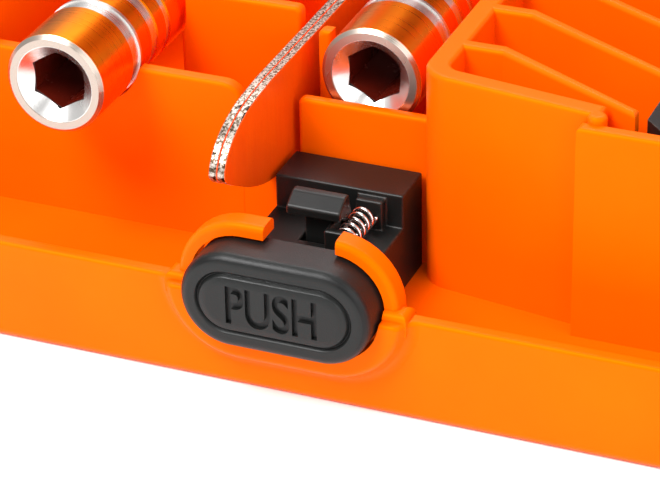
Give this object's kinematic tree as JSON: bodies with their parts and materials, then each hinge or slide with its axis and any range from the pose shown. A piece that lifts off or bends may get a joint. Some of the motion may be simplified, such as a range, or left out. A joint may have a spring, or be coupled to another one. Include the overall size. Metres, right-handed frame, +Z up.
{
  "type": "precision screwdriver set",
  "caption": "Hinged case with a push-button latch that holds a hex-bit driver with a spinning cap, an extension, tweezers and lift-out racks of bits.",
  "frame": {"origin": "middle of the flat underside of the case", "axes": "+X to the right seen from the push button side, +Y from the button to the hinge, +Z up"},
  "size_m": [0.132, 0.1748, 0.13],
  "materials": {
    "orange_plastic": "fine moulded texture",
    "black_plastic": "satin moulded",
    "spring_steel": "drawn wire",
    "foam": "closed-cell foam",
    "orange_anodised": "anodised, turned",
    "bare_steel": "turned",
    "bronze": "sintered",
    "coated_steel": "satin coat with ground edges",
    "bit_steel": "satin plated"
  },
  "bodies": {
    "case": {"base_shell": "orange_plastic", "tray_insert": "orange_plastic", "latch_housing": "black_plastic", "latch_spring": "spring_steel", "hinge_pin": "spring_steel"},
    "lid": {"lid_shell": "orange_plastic", "lid_pad": "foam"},
    "button": {"button_cap": "black_plastic", "latch_slider": "black_plastic"},
    "handle": {"handle_sleeve": "orange_anodised", "handle_socket": "bare_steel", "handle_magnet": "bare_steel", "handle_bush": "bronze"},
    "handle_cap": {"handle_cap": "orange_anodised", "cap_axle": "bare_steel"},
    "extension": {"extension_sleeve": "orange_anodised", "extension_socket": "bare_steel", "extension_magnet": "bare_steel", "extension_shank": "bare_steel"},
    "tweezers": {"tweezer_blade_left": "coated_steel", "tweezer_blade_right": "coated_steel"},
    "rack_right_front": {"rack_right_front": "black_plastic", "rack_right_front_bits_cross": "bit_steel", "rack_right_front_bits_flat": "bit_steel", "rack_right_front_bits_star": "bit_steel"},
    "rack_right_rear": {"rack_right_rear": "black_plastic", "rack_right_rear_bits_cross": "bit_steel", "rack_right_rear_bits_flat": "bit_steel", "rack_right_rear_bits_hex": "bit_steel", "rack_right_rear_bits_star": "bit_steel"},
    "rack_left_front": {"rack_left_front": "black_plastic", "rack_left_front_bits_cross": "bit_steel", "rack_left_front_bits_hex": "bit_steel", "rack_left_front_bits_star": "bit_steel"},
    "rack_left_rear": {"rack_left_rear": "black_plastic", "rack_left_rear_bits_cross": "bit_steel", "rack_left_rear_bits_flat": "bit_steel", "rack_left_rear_bits_hex": "bit_steel", "rack_left_rear_bits_star": "bit_steel"}
  },
  "joints": [
    {"name": "lid_hinge", "type": "hinge", "parent": "case", "child": "lid", "pos_m": [0, 0.0627, 0.0083], "axis": [-1, 0, 0], "range_deg": [-97, 0]},
    {"name": "latch_press", "type": "slide", "parent": "case", "child": "button", "axis": [0, 1, 0], "range_m": [0, 0.0016], "stiffness_N_per_m": 600, "springref_m": -0.0015, "deforming": ["latch_spring"]},
    {"name": "handle_lift", "type": "slide", "parent": "case", "child": "handle", "axis": [0, 0, 1], "range_m": [0, 0.03]},
    {"name": "cap_spin", "type": "hinge", "parent": "handle", "child": "handle_cap", "pos_m": [-0.0211, 0.04, 0.0185], "axis": [0, 1, 0], "continuous": true},
    {"name": "extension_lift", "type": "slide", "parent": "case", "child": "extension", "axis": [0, 0, 1], "range_m": [0, 0.03]},
    {"name": "tweezers_lift", "type": "slide", "parent": "case", "child": "tweezers", "axis": [0, 0, 1], "range_m": [0, 0.03]},
    {"name": "rack_right_front_lift", "type": "slide", "parent": "case", "child": "rack_right_front", "axis": [0, 0, 1], "range_m": [0, 0.04]},
    {"name": "rack_right_rear_lift", "type": "slide", "parent": "case", "child": "rack_right_rear", "axis": [0, 0, 1], "range_m": [0, 0.04]},
    {"name": "rack_left_front_lift", "type": "slide", "parent": "case", "child": "rack_left_front", "axis": [0, 0, 1], "range_m": [0, 0.04]},
    {"name": "rack_left_rear_lift", "type": "slide", "parent": "case", "child": "rack_left_rear", "axis": [0, 0, 1], "range_m": [0, 0.04]}
  ]
}
